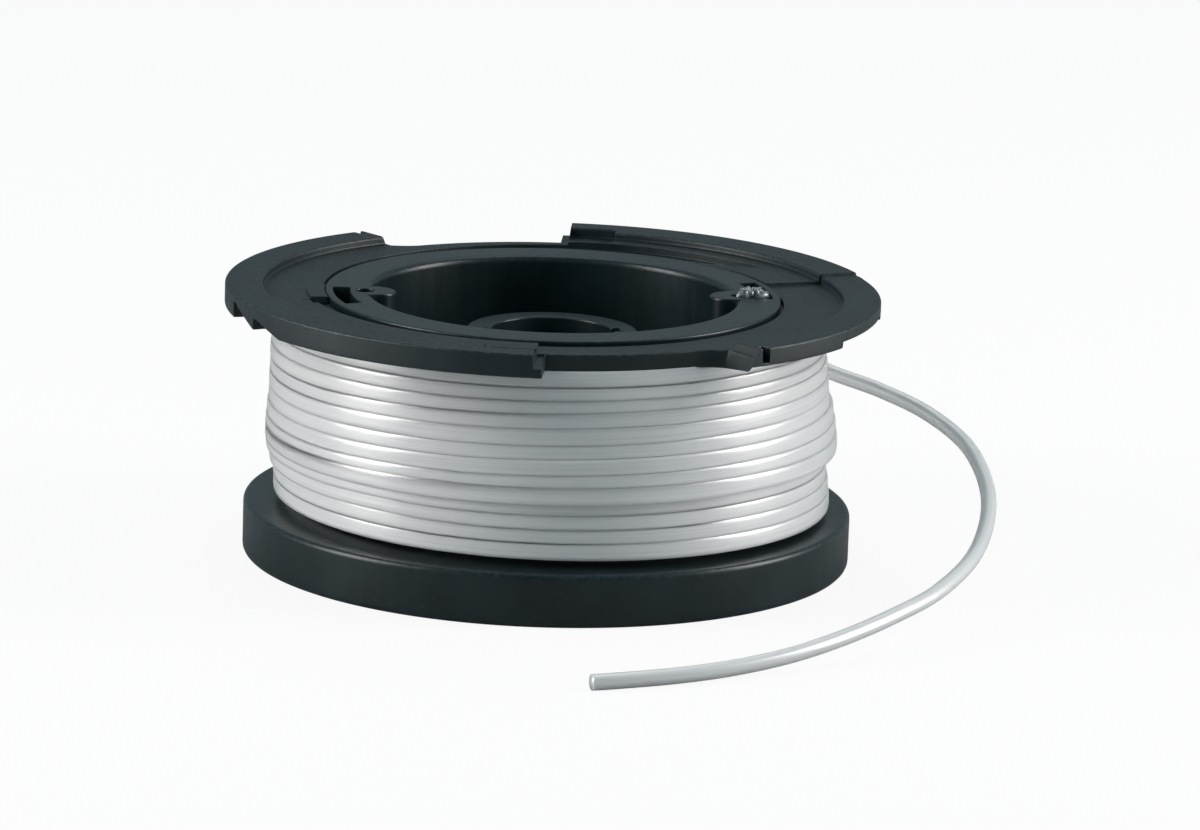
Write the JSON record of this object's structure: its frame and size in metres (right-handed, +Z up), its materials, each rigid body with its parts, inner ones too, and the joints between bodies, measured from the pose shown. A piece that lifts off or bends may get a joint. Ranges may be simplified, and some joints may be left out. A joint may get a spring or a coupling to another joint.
{
  "type": "string trimmer line spool",
  "caption": "Flanged plastic spool with a cam flange on top, wound with round nylon trimmer line whose free end lies beside it.",
  "frame": {"origin": "centre of the lower flange's rest face", "axes": "+Z up the spool's axis towards the cam flange, +X to the right and +Y away from the side that shows"},
  "size_m": [0.0829, 0.0914, 0.0294],
  "materials": {
    "moulded_body": "moulded dark blue-green grey plastic, fine grain, semi-matt",
    "moulded_flange": "moulded dark blue-green grey plastic, fine grain, semi-matt",
    "nylon_line": "extruded translucent white nylon, smooth and glossy"
  },
  "bodies": {
    "root": {"spool_body": "moulded_body", "cam_flange": "moulded_flange", "line_inner_layers": "nylon_line", "line_winding": "nylon_line", "line_tail": "nylon_line", "line_anchor_end": "nylon_line"}
  },
  "joints": []
}
